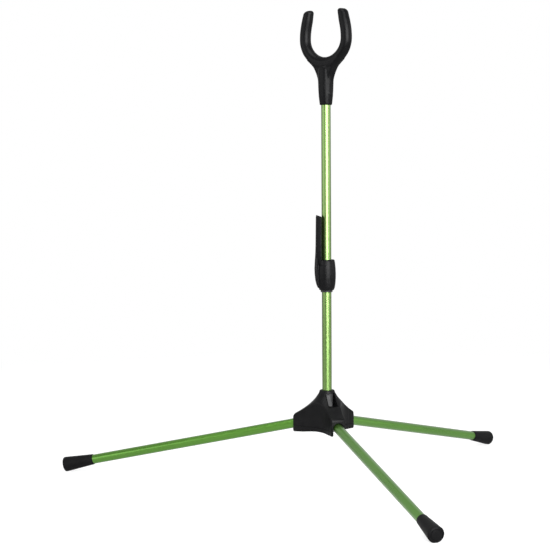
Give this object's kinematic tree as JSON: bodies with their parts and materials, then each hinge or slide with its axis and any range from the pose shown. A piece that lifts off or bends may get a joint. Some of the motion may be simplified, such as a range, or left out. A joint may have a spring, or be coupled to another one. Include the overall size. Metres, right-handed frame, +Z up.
{
  "type": "folding tripod bow stand",
  "caption": "Free-standing folding tripod stand: tube legs hinged in a moulded hub, a tube mast with a sliding, turning string clip, and a rubber covered fork on top.",
  "frame": {"origin": "centre of the footprint's bounding box, on the floor", "axes": "+Z up the mast, +Y towards the rear leg (square to the fork), +X across the fork's two prongs"},
  "size_m": [0.6192, 0.538, 0.594],
  "materials": {
    "black_plastic": "satin moulded",
    "dark_plastic": "satin moulded",
    "grey_plastic": "satin moulded",
    "green_tube": "anodised, satin",
    "rubber": "moulded, satin",
    "bare_aluminium": "turned",
    "steel": "zinc plated"
  },
  "bodies": {
    "frame": {"hub_body": "black_plastic", "hub_base": "black_plastic", "hub_screws": "steel", "leg_pins": "steel", "mast_socket": "grey_plastic", "mast_tube": "green_tube", "mast_plug": "bare_aluminium", "mast_washer": "steel", "mast_screw": "steel", "fork_core": "bare_aluminium", "fork_cover": "rubber"},
    "bush": {"clip_bush": "dark_plastic"},
    "clip": {"string_clip": "black_plastic"},
    "rear_leg": {"leg_root_rear": "bare_aluminium", "leg_tube_rear": "green_tube", "leg_foot_rear": "rubber"},
    "left_leg": {"leg_root_left": "bare_aluminium", "leg_tube_left": "green_tube", "leg_foot_left": "rubber"},
    "right_leg": {"leg_root_right": "bare_aluminium", "leg_tube_right": "green_tube", "leg_foot_right": "rubber"}
  },
  "joints": [
    {"name": "clip_slide", "type": "slide", "parent": "frame", "child": "bush", "axis": [0, 0, 1], "range_m": [-0.12, 0.13]},
    {"name": "clip_turn", "type": "hinge", "parent": "bush", "child": "clip", "pos_m": [0, -0.085, 0.26], "axis": [0, 0, 1], "continuous": true},
    {"name": "rear_leg_fold", "type": "hinge", "parent": "frame", "child": "rear_leg", "pos_m": [0, -0.061, 0.0771], "axis": [-1, 0, 0], "range_deg": [0, 78]},
    {"name": "left_leg_fold", "type": "hinge", "parent": "frame", "child": "left_leg", "pos_m": [-0.02079, -0.097, 0.0771], "axis": [0.5, -0.866, 0], "range_deg": [0, 78]},
    {"name": "right_leg_fold", "type": "hinge", "parent": "frame", "child": "right_leg", "pos_m": [0.02079, -0.097, 0.0771], "axis": [0.5, 0.866, 0], "range_deg": [0, 78]}
  ]
}
